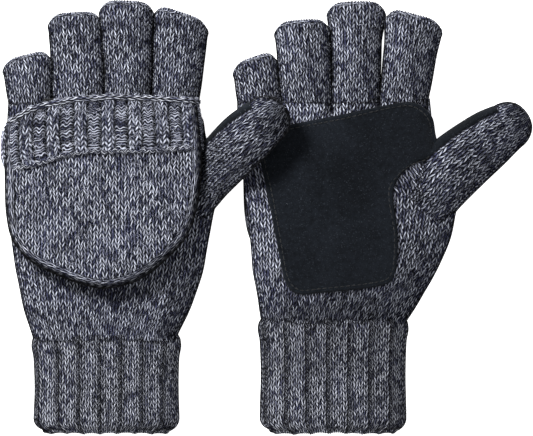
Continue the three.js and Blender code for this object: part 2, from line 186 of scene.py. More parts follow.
# The hood's outline from the little finger's side round the tip, for a hood 54.2 mm to each side.
HOOD_RIM = [
    [-54.4, 62], [-54.8, 40], [-54.6, 20], [-53.8, 2], [-50.2, -12.2], [-40.2, -23.4], [-28, -29.8],
    [-14, -35.2], [-1.5, -37.8], [12, -35.4], [23.5, -29.8], [33.8, -21], [42.8, -11.5],
    [47.4, -1.5], [50.2, 10], [51.6, 22], [51.8, 40], [49.6, 62],
]
BAND_TOP = [[-58, 51], [-53, 54.4], [-44, 59], [-27, 63.4], [-11, 65.4], [18, 66], [30, 65.4], [54, 64]]
BAND_BOTTOM = [[-58, 26.6], [-44, 29.4], [-32, 32.6], [-20, 35.8], [-10, 37], [14, 37.2], [54, 39.4]]
PALM_PATCH = [
    [46, 63.6], [54.6, 56.6], [56.8, 47], [57.8, 39.6], [54, 33.6], [47, 31], [40, 26.4],
    [34, 18], [33.4, 9], [34.6, 0], [35.8, -14],
    [33.4, -32.6], [24, -38], [-8, -41.6], [-20, -42], [-26.4, -35.4], [-30.6, -17], [-36.6, 14],
    [-40.6, 35], [-38.4, 46.6], [-24.4, 51.4], [8, 58], [34, 63.4],
]


# ---- Mathematics ----
def smoothstep(low, high, value):
    t = np.clip((value - low) / (high - low), 0, 1)
    return t * t * (3 - 2 * t)


def spline(rows, places, column=1):
    """A smooth curve through [place, value, ...] rows, read at many places."""
    rows = np.array(rows, float)
    x, y = rows[:, 0], rows[:, column]
    slope = np.gradient(y, x)
    k = np.clip(np.searchsorted(x, places) - 1, 0, len(x) - 2)
    span = x[k + 1] - x[k]
    t = np.clip((places - x[k]) / span, 0, 1)
    rise = t * t * (3 - 2 * t)
    level = y[k] * (1 - rise) + y[k + 1] * rise
    return level + slope[k] * span * t * (1 - t) ** 2 - slope[k + 1] * span * t * t * (1 - t)


def even(values, places):
    """Values spread evenly from 0 to 1, read at places by a smooth curve."""
    return spline(list(zip(np.linspace(0, 1, len(values)), values)), places)


def superellipse(angle, exponent=ROUNDNESS):
    def soften(v):
        return np.sign(v) * np.abs(v) ** (2 / exponent)

    return soften(np.cos(angle)), soften(np.sin(angle))


def curve(a, b, c, d, t):
    """The smooth curve from b to c, which a and d bend."""
    return 0.5 * (2 * b + (c - a) * t + (2 * a - 5 * b + 4 * c - d) * t**2 + (3 * (b - c) + d - a) * t**3)


def catmull(points, count, closed=False):
    """Points spread evenly along a smooth curve through the given ones."""
    p = np.array(points, float)
    if closed:
        p = np.vstack([p[-1:], p, p[:2]])
    else:
        p = np.vstack([2 * p[0] - p[1], p, 2 * p[-1] - p[-2]])
    t = np.linspace(0, 1, 24, endpoint=False)[:, None]
    pieces = [curve(a, b, c, d, t) for a, b, c, d in zip(p[:-3], p[1:-2], p[2:-1], p[3:])]
    return respace(np.vstack(pieces + [p[-2:-1]]), count)


def unit(vectors):
    return vectors / np.maximum(np.linalg.norm(vectors, axis=-1, keepdims=True), 1e-9)


def directions(path):
    return unit(np.gradient(path, axis=0))


def length_of(path):
    return np.linalg.norm(np.diff(path, axis=0), axis=1).sum()


def run_along(path):
    """How far along a polyline each of its points lies."""
    return np.concatenate([[0], np.cumsum(np.linalg.norm(np.diff(path, axis=0), axis=1))])


def closed_section(section, columns):
    """A closed section read at points spread evenly round it."""
    return respace(np.vstack([section, section[:1]]), columns + 1)[:-1]


def respace(dense, count):
    """A polyline read at count places spread evenly along its length."""
    run = run_along(dense)
    where = np.linspace(0, run[-1], count)
    return np.stack([np.interp(where, run, dense[:, i]) for i in range(dense.shape[1])], axis=1)


def drift(seed, x, y, scale):
    """Slow smooth unevenness, from -1 to 1, the same on every run."""
    rng = np.random.default_rng(seed)
    total = np.zeros(np.broadcast(x, y).shape)
    for _ in range(5):
        direction = rng.uniform(0, math.tau)
        pitch = rng.uniform(0.6, 1.6) / scale
        phase = rng.uniform(0, math.tau)
        along = x * math.cos(direction) + y * math.sin(direction)
        total = total + np.sin(math.tau * pitch * along + phase)
    return total / 5


# ---- Stitch patterns ----
# Each gives the yarn's height, how open it lies to the light, and whether it is purl, all 0 to 1.
# The second value is kept as the light attribute, from which the yarn's material paints shade into the gaps
# between stitches.
def stocking(u, v):
    across = np.abs(u - np.floor(u) - 0.5)
    column = np.clip(np.sin(math.tau * across), 0, 1) ** 0.6
    leg = np.abs(np.sin(math.pi * (v + SLANT * across))) ** 0.9
    height = column * (0.25 + 0.75 * leg)
    return height, height, 0 * height


def purl(u, v):
    """Crossing bumps: each course is a wavy line that lies across the wales."""
    wave = PURLS * v + 0.5 * np.cos(math.tau * u) + 0.25 * drift(17, u, v, 1.6)
    height = np.abs(np.sin(math.pi * wave)) ** 0.8
    return height, height, 1 + 0 * height


def rib(u, v, wales, share, sink):
    """Raised knit wales beside sunken purl ones. u counts wales, and a rib takes the given number."""
    place = (u / wales) % 1
    raised = np.clip(place / share, 0, 1)
    sunken = np.clip((place - share) / (1 - share), 0, 1)
    column = np.clip(np.sin(math.pi * raised), 0, 1) ** 0.4
    valley = np.clip(np.sin(math.pi * sunken), 0, 1) ** 0.4
    knit_height = stocking(raised * wales * share, v)[0]
    purl_height = purl(sunken * wales * (1 - share), v)[0]
    is_knit = place < share
    raised_height = 0.12 + column * (0.46 + 0.42 * knit_height)
    sunken_height = 0.12 + valley * (sink + 0.3 * purl_height)
    height = np.where(is_knit, raised_height, sunken_height)
    # How open the sunken purl lies to the light, which the yarn's material turns into painted shade.
    sunken_light = valley * (0.05 + 0.95 * purl_height**1.6) * (0.6 + sink)
    light = np.where(is_knit, column**0.5 * knit_height, sunken_light)
    return height, light, np.where(is_knit, 0.0, 1.0)


def cuff_rib(u, v):
    return rib(u, v, 4, 0.86, 0.05)


def band_rib(u, v):
    return rib(u, v, 4, 0.5, 0.24)


def plain(u, v):
    return 0.5 + 0 * u, 1 + 0 * u, 0 * u


# ---- Meshes ----
def place(mitten, points):
    """Points of a mitten's own frame, in metres in the shared frame."""
    out = np.array(points, float) / 1000
    out[..., 0] += mitten["x"] / 1000
    out[..., 2] = mitten["z"] / 1000 + mitten["facing"] * out[..., 2]
    return out


def add_object(name, data):
    made = bpy.data.objects.new(name, data)
    bpy.context.collection.objects.link(made)
    return made


def build(mitten, name, vertices, faces, uvs, material, **qualities):
    """A mitten's piece from arrays. uvs has one row for each corner of each face."""
    name = f"{mitten['name']}_{name}"
    mesh = bpy.data.meshes.new(name)
    mesh.from_pydata(vertices.reshape(-1, 3), [], faces)
    mesh.uv_layers.new(name="stitches").data.foreach_set("uv", np.asarray(uvs, np.float32).ravel())
    for key, values in qualities.items():
        attribute = mesh.attributes.new(key, "FLOAT", "POINT")
        attribute.data.foreach_set("value", np.asarray(values, np.float32).ravel())
    mesh.polygons.foreach_set("use_smooth", np.ones(len(mesh.polygons), bool))
    mesh.materials.append(material)
    mesh.update()
    return add_object(name, mesh)


def grid_directions(points, closed):
    """The normal and the direction across the wales at each point of a grid."""
    if closed:
        du = np.roll(points, -1, axis=1) - np.roll(points, 1, axis=1)
    else:
        du = np.gradient(points, axis=1)
    return unit(np.cross(du, np.gradient(points, axis=0))), unit(du)


def knitted(mitten, name, points, u, v, pattern, height, material, closed=False, keep=None, sink=0.5):
    """A grid of points lifted into stitches. u has one more column than a closed grid's points."""
    rows, columns = points.shape[:2]
    v = v + 0.3 * drift(len(name) + 1, u, v, 3)
    steps = np.random.default_rng(len(name)).uniform(0, UNEVEN, int(2 * u.max()) + 2)
    steps *= 1 - pattern((np.arange(len(steps)) + 0.5) / 2, 0 * steps)[2]
    leg = np.floor(2 * u + 1e-6).astype(int)
    relief, light, turned = pattern(u[:, :columns], (v + steps[leg])[:, :columns])
    inner_u, inner_v = u[:, :columns], v[:, :columns]
    loft = 0.35 * drift(len(name) + 3, inner_u, inner_v, 12)
    sideways = 0.5 * drift(len(name) + 5, inner_u, inner_v, 4)
    normal, across = grid_directions(points, closed)
    depth = height * (relief - sink) + loft * np.minimum(1, height)
    lifted = points + normal * depth[..., None] + across * (sideways * np.minimum(1, height))[..., None]
    i, k = np.meshgrid(np.arange(rows - 1), np.arange(columns if closed else columns - 1), indexing="ij")
    after = (k + 1) % columns
    this_row, next_row = i * columns, (i + 1) * columns
    corners = np.stack([this_row + k, this_row + after, next_row + after, next_row + k], -1)
    uv = np.stack([u, v], -1)
    corner_uv = np.stack([uv[i, k], uv[i, k + 1], uv[i + 1, k + 1], uv[i + 1, k]], -2)
    corner_uv[..., 1] += steps[np.minimum(leg[i, k], leg[i, k + 1])][..., None]
    chosen = np.ones(i.shape, bool) if keep is None else keep
    faces = corners[chosen]
    corner_uv = corner_uv[chosen]
    if mitten["facing"] < 0:
        faces = faces[:, ::-1]
        corner_uv = corner_uv[:, ::-1]
    vertices = place(mitten, lifted).reshape(-1, 3)
    light, turned = light.ravel(), turned.ravel()
    if keep is not None:
        used = np.unique(faces)
        lookup = np.zeros(len(vertices), int)
        lookup[used] = np.arange(len(used))
        vertices, light, turned, faces = vertices[used], light[used], turned[used], lookup[faces]
    return build(mitten, name, vertices, faces, corner_uv, material, light=light, purl=turned)


def stitch_rows(wales, columns, courses):
    """The stitch coordinates of a grid whose rows lie at the given courses."""
    u = np.tile(np.linspace(0, wales, columns + 1), (len(courses), 1))
    return u, np.tile(courses[:, None], (1, columns + 1))


def tube_rows(length, wall, inner_rows=10):
    """Rows of a tube that turns in at its end: place along it, growth and relief share. Then its courses."""
    count = max(2, round(length / COURSE * ALONG))
    outside = [(t, 0, 1) for t in np.linspace(0, 1, count + 1)]
    radius = wall / 2
    lip = [
        (1 + radius * math.sin(a) / length, -radius * (1 - math.cos(a)), 0.6)
        for a in np.linspace(0, math.pi, 7)[1:-1]
    ]
    inside = [(t, -wall, 0.25) for t in np.linspace(1, 0.02, inner_rows)]
    rows = np.array(outside + lip + inside)
    run = np.concatenate([[0], np.cumsum(np.abs(np.diff(rows[:, 0])) * length + np.abs(np.diff(rows[:, 1])))])
    return rows, run / COURSE


def tube(mitten, name, ring, length, wales, wall, pattern, height, material, inner_rows=10):
    """A knitted tube, whose ring(t, growth) gives one closed section as many points."""
    rows, v = tube_rows(length, wall, inner_rows)
    columns = wales * ACROSS
    points = np.array([closed_section(ring(t, growth), columns) for t, growth, _ in rows])
    u, v = stitch_rows(wales, columns, v)
    share = rows[:, 2:3] * np.ones((1, columns))
    return knitted(mitten, name, points, u, v, pattern, height * share, material, closed=True)


# ---- Materials ----
class Graph:
    """Short words for making a material's nodes."""

    def __init__(self, name):
        self.material = bpy.data.materials.new(name)
        self.material.use_nodes = True
        self.nodes = self.material.node_tree.nodes
        self.links = self.material.node_tree.links
        self.shader = self.nodes["Principled BSDF"]

    def feed(self, socket, value):
        if isinstance(value, bpy.types.NodeSocket):
            self.links.new(value, socket)
        elif value is not None:
            socket.default_value = value

    def add(self, kind, inputs, output=0, **settings):
        """A node with its settings made and its inputs fed, by name or place. Gives one of its outputs."""
        node = self.nodes.new("ShaderNode" + kind)
        for key, value in settings.items():
            setattr(node, key, value)
        for key, value in inputs.items():
            self.feed(node.inputs[key], value)
        return node.outputs[output]

    def math(self, operation, a, b=None):
        return self.add("Math", {0: a, 1: b}, operation=operation)

    def times(self, a, b):
        return self.math("MULTIPLY", a, b)

    def plus(self, a, b):
        return self.math("ADD", a, b)

    def minus(self, a, b):
        return self.math("SUBTRACT", a, b)

    def ramp(self, value, low, high, to_low=0.0, to_high=1.0):
        inputs = {"Value": value, "From Min": low, "From Max": high, "To Min": to_low, "To Max": to_high}
        return self.add("MapRange", inputs, interpolation_type="SMOOTHSTEP")

    def mix(self, factor, a, b, blend="MIX"):
        return self.add("Mix", {0: factor, 6: a, 7: b}, 2, data_type="RGBA", blend_type=blend)

    def vector(self, x, y, z=0.0):
        return self.add("CombineXYZ", {0: x, 1: y, 2: z})

    def noise(self, vector, scale, detail=2.0, roughness=0.5):
        inputs = {"Vector": vector, "Scale": scale, "Detail": detail, "Roughness": roughness}
        return self.add("TexNoise", inputs, "Fac")

    def random(self, vector):
        return self.add("TexWhiteNoise", {"Vector": vector}, "Value")

    def quality(self, name):
        return self.add("Attribute", {}, "Fac", attribute_name=name)

    def ply(self, wale, row, along, offset, width, amount):
        """Where a strand shows its light ply: a thin line that wanders off its middle and comes and goes."""
        across, down = self.times(wale, 3.7), self.times(row, 2.9)
        wander = self.noise(self.vector(across, along, down), 1.0, 1)
        shift = self.random(self.vector(wale, row, 7.0))
        sway = self.plus(self.times(wander, 0.6), self.times(shift, 0.3))
        line = self.plus(offset, self.minus(sway, 0.45))
        thin = self.ramp(self.math("ABSOLUTE", line), width * 0.2, width, 1.0, 0.0)
        fleck = self.noise(self.vector(self.plus(across, 40.0), along, down), 1.0, 2, 0.6)
        stitch = self.random(self.vector(wale, row))
        shown = self.plus(self.times(fleck, 0.5), self.times(stitch, 0.5))
        return self.times(thin, self.ramp(shown, amount - 0.16, amount + 0.26))

    def surface(self, inputs):
        for key, value in inputs.items():
            self.feed(self.shader.inputs[key], value)

    def bump(self, height, strength, distance):
        inputs = {"Height": height, "Strength": strength, "Distance": distance}
        self.feed(self.shader.inputs["Normal"], self.add("Bump", inputs, "Normal"))

    def object_position(self):
        return self.add("TexCoord", {}, "Object")


def srgb(red, green, blue):
    def linear(value):
        value /= 255
        return value / 12.92 if value <= 0.04045 else ((value + 0.055) / 1.055) ** 2.4

    return (linear(red), linear(green), linear(blue), 1.0)


def marled_yarn(name, dark, middle, light, amount=0.5):
    """Two-ply yarn, whose light ply shows here and there along the legs of the stitches, with painted shade
    in the gaps between them.
    """
    g = Graph(name)
    u = g.add("SeparateXYZ", {0: g.add("UVMap", {}, uv_map="stitches")})
    v = u.node.outputs[1]
    wale = g.math("FLOOR", u)
    offset = g.minus(g.minus(u, wale), 0.5)
    across = g.math("ABSOLUTE", offset)
    side = g.plus(g.times(wale, 2), g.math("GREATER_THAN", offset, 0.0))
    along = g.plus(v, g.times(across, SLANT))
    row = g.math("FLOOR", along)
    middle_line = g.minus(g.minus(along, row), 0.5)
    ply = g.ply(side, row, g.times(across, 2.4), middle_line, 0.38, amount)
    wave = g.times(g.math("COSINE", g.times(u, math.tau)), 0.5)
    course = g.plus(g.times(v, PURLS), wave)
    row = g.math("FLOOR", course)
    crossing = g.minus(g.minus(course, row), 0.5)
    rib = g.math("FLOOR", g.times(u, 0.5))
    turned = g.ply(rib, row, g.times(u, 1.6), crossing, 0.3, amount - 0.02)
    ply = g.plus(ply, g.times(g.quality("purl"), g.minus(turned, ply)))

    tangle = g.noise(g.vector(g.times(u, 8), g.times(along, 1.6)), 1.0, 3, 0.6)
    patchy = g.noise(g.vector(g.times(u, 0.16), g.times(v, 0.11)), 1.0, 2)
    ground = g.plus(tangle, g.times(g.minus(patchy, 0.5), 0.3))
    colour = g.mix(g.ramp(ground, 0.4, 0.66), dark, middle)
    colour = g.mix(ply, colour, light)
    curl = g.noise(g.vector(g.times(u, 1.9), g.times(v, 1.2), 3.0), 1.0, 1)
    hair = g.ramp(g.math("ABSOLUTE", g.minus(curl, 0.5)), 0.004, 0.024, 0.5, 0.0)
    colour = g.mix(g.times(hair, g.ramp(tangle, 0.4, 0.6)), colour, light)
    # Painted shade: the colour is darkened down to almost black where the light attribute says the yarn lies
    # deep between stitches.
    depth = g.ramp(g.quality("light"), 0.15, 0.96, 0.02, 1.0)
    colour = g.mix(1.0, colour, g.vector(depth, depth, depth), "MULTIPLY")
    g.surface({
        "Base Color": colour, "Roughness": 0.92, "Specular IOR Level": 0.08,
        "Sheen Weight": 0.02, "Sheen Roughness": 0.5,
    })
    fibres = g.noise(g.vector(g.times(u, 22), g.times(along, 3.2)), 1.0, 4, 0.7)
    g.bump(fibres, 0.6, 0.0006)
    return g.material


def suede(name):
    g = Graph(name)
    where = g.object_position()
    nap = g.noise(where, 420, 5, 0.75)
    cloud = g.noise(where, 26, 3, 0.6)
    lint = g.ramp(g.noise(where, 1500, 2, 0.5), 0.6, 0.72)
    shade = g.plus(g.times(nap, 0.6), g.times(cloud, 0.4))
    colour = g.mix(g.ramp(shade, 0.34, 0.66), srgb(11, 14, 18), srgb(25, 29, 35))
    colour = g.mix(g.times(lint, 0.35), colour, srgb(74, 79, 88))
    g.surface({
        "Base Color": colour, "Roughness": 0.96, "Specular IOR Level": 0.05,
        "Sheen Weight": 0.03, "Sheen Roughness": 0.6,
    })
    grain = g.noise(where, 1500, 4, 0.75)
    g.bump(g.plus(grain, g.times(nap, 1.5)), 0.7, 0.0004)
    return g.material


def brushed(name, dark, light, grain_scale):
    """Short brushed pile, for linings and fastening tape."""
    g = Graph(name)
    where = g.object_position()
    pile = g.noise(where, grain_scale, 5, 0.7)
    colour = g.mix(g.ramp(pile, 0.36, 0.64), dark, light)
    g.surface({"Base Color": colour, "Roughness": 1.0, "Sheen Weight": 0.2})
    g.bump(pile, 0.8, 0.0008)
    return g.material


def plain_floor():
    """A pale sweep lit from below, so that it stays almost free of shadows."""
    g = Graph("floor")
    colour = g.mix(g.noise(g.object_position(), 3, 2), (0.93, 0.93, 0.93, 1), (0.95, 0.95, 0.95, 1))
    g.surface({"Base Color": colour, "Roughness": 0.9, "Emission Color": colour, "Emission Strength": 1.1})
    return g.material


YARN = marled_yarn("knit", srgb(9, 11, 22), srgb(92, 96, 130), srgb(234, 239, 255), 0.435)
RIB_YARN = marled_yarn("rib", srgb(9, 11, 22), srgb(94, 98, 132), srgb(238, 242, 255), 0.36)
BAND_YARN = marled_yarn("band", srgb(8, 10, 20), srgb(84, 88, 120), srgb(232, 237, 255), 0.42)
# The rim's yarn has more light flecks, as the real rim does, and a lighter ground and darks than the knit
# yarn, painted so that the rim looks lit.
RIM_YARN_FLECKED_AND_PAINTED_LIT = marled_yarn("edge", srgb(18, 20, 32), srgb(120, 124, 156), srgb(236, 240, 255), 0.34)
FIBRE_LOOK = brushed("fibre", srgb(60, 64, 82), srgb(225, 229, 245), 90)
SUEDE_LOOK = suede("suede")
FLEECE_LOOK = brushed("fleece", srgb(26, 28, 36), srgb(62, 64, 76), 700)
TAPE_LOOK = brushed("tape", srgb(16, 17, 19), srgb(40, 41, 45), 1600)
THREAD_LOOK = brushed("thread", srgb(3, 4, 6), srgb(12, 14, 18), 1200)


# ---- Hand and cuff ----
RING = np.linspace(0, math.tau, 360, endpoint=False)


def finger_middle(mitten, name, y):
    """A finger sleeve's centre line and half width at y."""
    finger = mitten["fingers"][name]
    t = (y - FINGER_BASE_Y) / (finger["end"] - FINGER_BASE_Y)
    middle = finger["base"] + (finger["tip"] - finger["base"]) * t
    root, end = finger["widths"]
    return middle, (root + (end - root) * t) / 2


def hand_section(mitten, y, growth):
    """The hand's closed section at y, pinched into four finger roots near the knuckles."""
    left, right, palm, shift = (float(spline(mitten["hand"], np.array([y]), c)[0]) for c in (1, 2, 3, 4))
    half = (right - left) / 2 + growth
    across, up = superellipse(RING)
    swell = BACK_SWELL if mitten["palm_flat"] else 0
    back = np.minimum((HAND_DEPTH / 2 + BACK_SWELL + growth) * up, HAND_DEPTH / 2 + growth)
    front = np.maximum((palm + swell + growth) * up, -palm - growth)
    x = (left + right) / 2 + across * half
    z = -HAND_DEPTH / 2 + shift + np.where(up > 0, back, front)
    towards = smoothstep(PINCH_START, PINCH_END, y)
    if towards > 0:
        growth = growth - ROOT_SINK * float(smoothstep(*SINK_SPAN, y))
        lift = np.full_like(x, 0.9)
        for name in mitten["fingers"]:
            middle, reach = finger_middle(mitten, name, FINGER_BASE_Y)
            inside = np.clip(1 - np.abs((x - middle) / reach) ** FINGER_ROUNDNESS, 0, 1)
            inside = inside ** (1 / FINGER_ROUNDNESS)
            lift = np.maximum(lift, inside * (FINGER_DEPTH / 2 + 0.3 + growth))
        pinched = -FINGER_DEPTH / 2 - 0.6 + np.sign(up) * lift
        z = z * (1 - towards) + pinched * towards
    return np.stack([x, np.full_like(x, y), z], axis=1)


def make_hand(mitten):
    wrist, knuckle = mitten["hand"][0][0], mitten["hand"][-1][0] + 1.2
    low = wrist - 2
    length = knuckle - low
    rows = round(length / COURSE * ALONG)
    places = np.linspace(low, knuckle, rows + 1)
    columns = HAND_WALES * ACROSS
    points = np.array([closed_section(hand_section(mitten, y, 0), columns) for y in places])
    u, v = stitch_rows(HAND_WALES, columns, places / COURSE)
    hand = knitted(mitten, "hand_knit", points, u, v, stocking, LEG_HEIGHT, YARN, closed=True)
    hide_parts(f"{mitten['name']}_hand_shell")
    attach(hand, f"{mitten['name']}_hand")
    return hand


def make_hand_lining(mitten):
    """The fleece inside the hand, from the wrist to below the finger roots."""
    wrist = mitten["hand"][0][0]
    inset = -KNIT - GAP

    def ring(t, growth):
        return hand_section(mitten, wrist + (LINING_TOP - wrist) * t, inset + growth)

    lining = tube(mitten, "hand_fleece", ring, LINING_TOP - wrist, 30, FLEECE, purl, 0.3, FLEECE_LOOK, 30)
    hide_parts(f"{mitten['name']}_hand_lining")
    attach(lining, f"{mitten['name']}_hand")


def make_cuff(mitten):
    cuff = mitten["cuff"]
    low = cuff["end"] + CUFF_WALL / 2
    start = cuff["wrist"] + 1.5
    length = start - cuff["end"] - CUFF_WALL / 2
    depth = HAND_DEPTH / 2 + 0.4
    hand_shift = mitten["hand"][0][4]

    def ring(t, growth):
        y = start - length * t
        lift = hand_shift + (cuff["shift"] - hand_shift) * min(1, max(0, (cuff["wrist"] - y) / CUFF_SETTLING))
        into = min(0.97, max(0, 1 - (y - low) / CUFF_EDGE))
        rounding = CUFF_EDGE * (1 - math.sqrt(1 - into**2))
        waist = 0.6 * math.sin(math.pi * min(1, max(0, t)))
        into_wrist = 1.1 * (1 - smoothstep(0, 0.05, t))
        across, up = superellipse(RING)
        step = 0.9 * math.exp(-(((y - cuff["wrist"] + 5) / 4) ** 2))
        x = cuff["x"] + across * (cuff["half"] + growth - rounding - waist - into_wrist + step)
        z = up * (depth + 0.6 + growth - rounding * 0.4 - into_wrist)
        z = np.clip(z, -depth - growth, depth + growth) - HAND_DEPTH / 2 + lift
        return np.stack([x, np.full_like(x, y), z], axis=1)[::-1]

    piece = tube(
        mitten, "cuff_rib", ring, length, CUFF_RIBS * 4, CUFF_WALL, cuff_rib, RIB_HEIGHT, RIB_YARN, 24
    )
    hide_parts(f"{mitten['name']}_cuff")
    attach(piece, f"{mitten['name']}_hand")
    return piece


# ---- Fingers and thumb ----
def make_finger(mitten, name):
    finger = mitten["fingers"][name]
    start = FINGER_BASE_Y - 4
    length = finger["end"] - start

    def ring(t, growth):
        across, up = superellipse(RING, FINGER_ROUNDNESS)
        middle, half = finger_middle(mitten, name, start + length * t)
        half += FINGER_PLUMP[name] * math.sin(math.pi * min(1, t) * 0.5)
        half += finger["flare"] * smoothstep(0.66, 0.95, t)
        growth = growth - ROOT_SINK * (1 - smoothstep(1.7 / length, 2.7 / length, t))
        raised = FINGER_LIFT[name] * smoothstep(0, 0.5, t)
        from_end = (1 - t) * length
        hem = 0.45 * math.exp(-(((from_end - 2.6) / 1.6) ** 2)) - 0.9 * math.exp(-(max(0, from_end) / 1.2))
        x = middle + across * (half + growth + hem)
        drop = FINGER_CORNER * np.abs(across) ** 7 + 0.9 * across**2
        end = finger["end"] + finger["slant"] * across * 0.5 - drop
        y = start + (end - start) * t
        z = raised - FINGER_DEPTH / 2 - 0.6 + up * (FINGER_DEPTH / 2 + 0.4 + growth + hem)
        return np.stack([x, y, z], axis=1)

    around = 2 * finger["widths"][1] + 1.3 * FINGER_DEPTH
    wales = round(around / WALE)
    piece = tube(mitten, f"{name}_finger", ring, length, wales, KNIT + 0.5, stocking, LEG_HEIGHT, YARN)
    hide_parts(f"{mitten['name']}_{name}_sleeve")
    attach(piece, f"{mitten['name']}_hand")
    edge = ring(1 - 0.6 / length, -0.4)
    hem = make_chain(mitten, f"{name}_hem", np.vstack([edge, edge[:1]]), 0.8, 4.4, "hand", YARN)
    gather(mitten, piece)
    gather(mitten, hem)
    return [piece, hem]


def gather(mitten, piece):
    """Gives the piece its own copy of its mesh. The hood's place is worked out but not used."""
    tuple(place(mitten, [mitten["hood"]["x"], 0, 0]))
    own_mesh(piece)


def thumb_frames(thumb, places):
    """The thumb's centre line, directions, half widths and half depths at places from 0 to 1."""
    path = np.array(thumb["path"], float)
    p = np.vstack([2 * path[0] - path[1], path, 2 * path[-1] - path[-2]])
    run = np.clip(places, 0, 1) * 3
    k = np.minimum(run.astype(int), 2)
    t = (run - k)[:, None]
    centre = curve(p[k], p[k + 1], p[k + 2], p[k + 3], t)
    along = directions(centre)
    flat = unit(np.stack([-along[:, 1], along[:, 0], np.zeros(len(along))], axis=1))
    roll = np.radians(even(thumb["roll"], places))[:, None]
    up = np.cross(along, flat)
    side = flat * np.cos(roll) - up * np.sin(roll)
    up = np.cross(along, side)
    return centre, along, side, up, even(thumb["widths"], places), even(thumb["depths"], places)


def thumb_grid(thumb, angles, growth):
    """Sections of the thumb from its root to its domed tip, one row each."""
    shaft = np.linspace(0, 1, round(THUMB_LENGTH / COURSE * ALONG))
    dome = np.radians(np.linspace(4, 86, round(THUMB_TIP / COURSE * ALONG)))
    centre, along, side, up, width, depth = thumb_frames(thumb, shaft)
    rows = []
    across, high = superellipse(angles)
    for i in range(len(shaft)):
        rows.append(centre[i] + np.outer(across * (width[i] + growth), side[i])
                    + np.outer(high * (depth[i] + growth), up[i]))
    tip = width[-1] + growth
    across, high = superellipse(angles, 2.1)
    for angle in dome:
        forward = centre[-1] + along[-1] * math.sin(angle) * tip
        rows.append(forward + np.outer(across * tip, side[-1]) * math.cos(angle)
                    + np.outer(high * (depth[-1] + growth), up[-1]) * math.cos(angle) ** 0.8)
    return np.array(rows)


def make_thumb(mitten):
    thumb = mitten["thumb"]
    columns = THUMB_WALES * ACROSS
    sections = thumb_grid(thumb, RING, 0)
    points = np.array([closed_section(s, columns) for s in sections])[:, ::-1]
    middle = points.mean(axis=1)
    run = run_along(middle)
    u, v = stitch_rows(THUMB_WALES, columns, run / COURSE)
    fade = np.minimum(1, (len(points) - np.arange(len(points))) / 8)[:, None] * np.ones((1, columns))
    piece = knitted(mitten, "thumb_knit", points, u, v, stocking, LEG_HEIGHT * fade, YARN, closed=True)
    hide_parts(f"{mitten['name']}_thumb_sleeve")
    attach(piece, f"{mitten['name']}_hand")

    low, high = thumb["patch"]
    shaft_rows = round(THUMB_LENGTH / COURSE * ALONG)
    wrap = np.radians(np.linspace(*thumb["wrap"], 40))
    first, last = round(low * shaft_rows), min(len(sections) - 8, round(high * (shaft_rows + 12)))
    strip = thumb_grid(thumb, wrap, 0.9)[first:last]
    make_patch_strip(mitten, thumb, strip, wrap, first, last)
    return piece


def make_patch_strip(mitten, thumb, strip, wrap, first, last):
    """The suede strip on the thumb's inner edge, rounded at its borders."""
    rows, columns = strip.shape[:2]
    under = thumb_grid(thumb, wrap, -0.2)[first:last]
    a = np.linspace(-1, 1, columns)[None, :]
    b = np.linspace(-1, 1, rows)[:, None]
    border = np.clip((1 - np.maximum(np.abs(a) ** 4, np.abs(b) ** 18)) * 3, 0, 1) ** 0.5
    surface = under + (strip - under) * border[..., None]
    uv = np.stack(np.meshgrid(np.arange(columns), np.arange(rows)), -1) / 10
    piece = knitted(mitten, "thumb_suede", surface[:, ::-1], uv[..., 0], uv[..., 1],
                    plain, 0.0, SUEDE_LOOK)
    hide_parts(f"{mitten['name']}_thumb_patch")
    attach(piece, f"{mitten['name']}_hand")


# ---- Suede palm ----
def palm_height(mitten, x, y):
    """The palm's own surface at points of its outline's plane."""
    left, right, palm, shift = (spline(mitten["hand"], y, c) for c in (1, 2, 3, 4))
    across = np.clip(np.abs((x - (left + right) / 2) / ((right - left) / 2)), 0, 0.999)
    swell = BACK_SWELL if mitten["palm_flat"] else 0
    deep = np.minimum((palm + swell) * (1 - across**ROUNDNESS) ** (1 / ROUNDNESS), palm)
    flat = -HAND_DEPTH / 2 + shift - deep
    towards = smoothstep(PINCH_START, PINCH_END, y)
    return flat * (1 - towards) + np.minimum(flat, -13.2) * towards


def edge_distance(points, outline):
    """Distance of each point from a closed polyline."""
    a, b = outline, np.roll(outline, -1, axis=0)
    span = b - a
    best = np.full(len(points), 1e9)
    for start, step in zip(a, span):
        t = np.clip(((points - start) @ step) / max(step @ step, 1e-9), 0, 1)
        best = np.minimum(best, np.linalg.norm(points - start - t[:, None] * step, axis=1))
    return best


def make_palm(mitten):
    outline = catmull([[x + mitten["patch_shift"], y] for x, y in PALM_PATCH], 241, closed=True)[:-1]
    step = 1.5
    xs, ys = np.meshgrid(np.arange(-60, 70, step), np.arange(-60, 80, step))
    inner = np.stack([xs.ravel(), ys.ravel()], axis=1)
    centre = outline.mean(axis=0)
    loops = [outline + unit(centre - outline) * inset for inset in (0, 0.35, 0.8, 1.4, 2.1)]
    points = np.vstack(loops + [inner])
    ring = [(i, (i + 1) % len(outline)) for i in range(len(outline))]
    made = delaunay_2d_cdt([Vector(p) for p in points], ring, [], 1, 1e-4)
    flat = np.array([[p.x, p.y] for p in made[0]])
    faces = np.array([f for f in made[2] if len(f) == 3])
    distance = edge_distance(flat, outline)
    lift = 0.1 + (SUEDE + 0.2) * np.sqrt(np.clip(1 - (1 - np.minimum(distance / 1.3, 1)) ** 2, 0, 1))
    stitch_line = np.exp(-(((distance - SEAM_INSET) / 0.5) ** 2)) * 0.45
    uneven = 0.12 * drift(5, flat[:, 0], flat[:, 1], 22)
    z = palm_height(mitten, flat[:, 0], flat[:, 1]) - lift - GAP + stitch_line - uneven
    vertices = place(mitten, np.column_stack([flat, z]))
    if mitten["facing"] > 0:
        faces = faces[:, ::-1]
    uvs = flat[faces] / 10
    patch = build(mitten, "palm_suede", vertices, faces, uvs, SUEDE_LOOK)
    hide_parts(f"{mitten['name']}_palm_patch")
    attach(patch, f"{mitten['name']}_hand")
    make_stitches(mitten, outline)


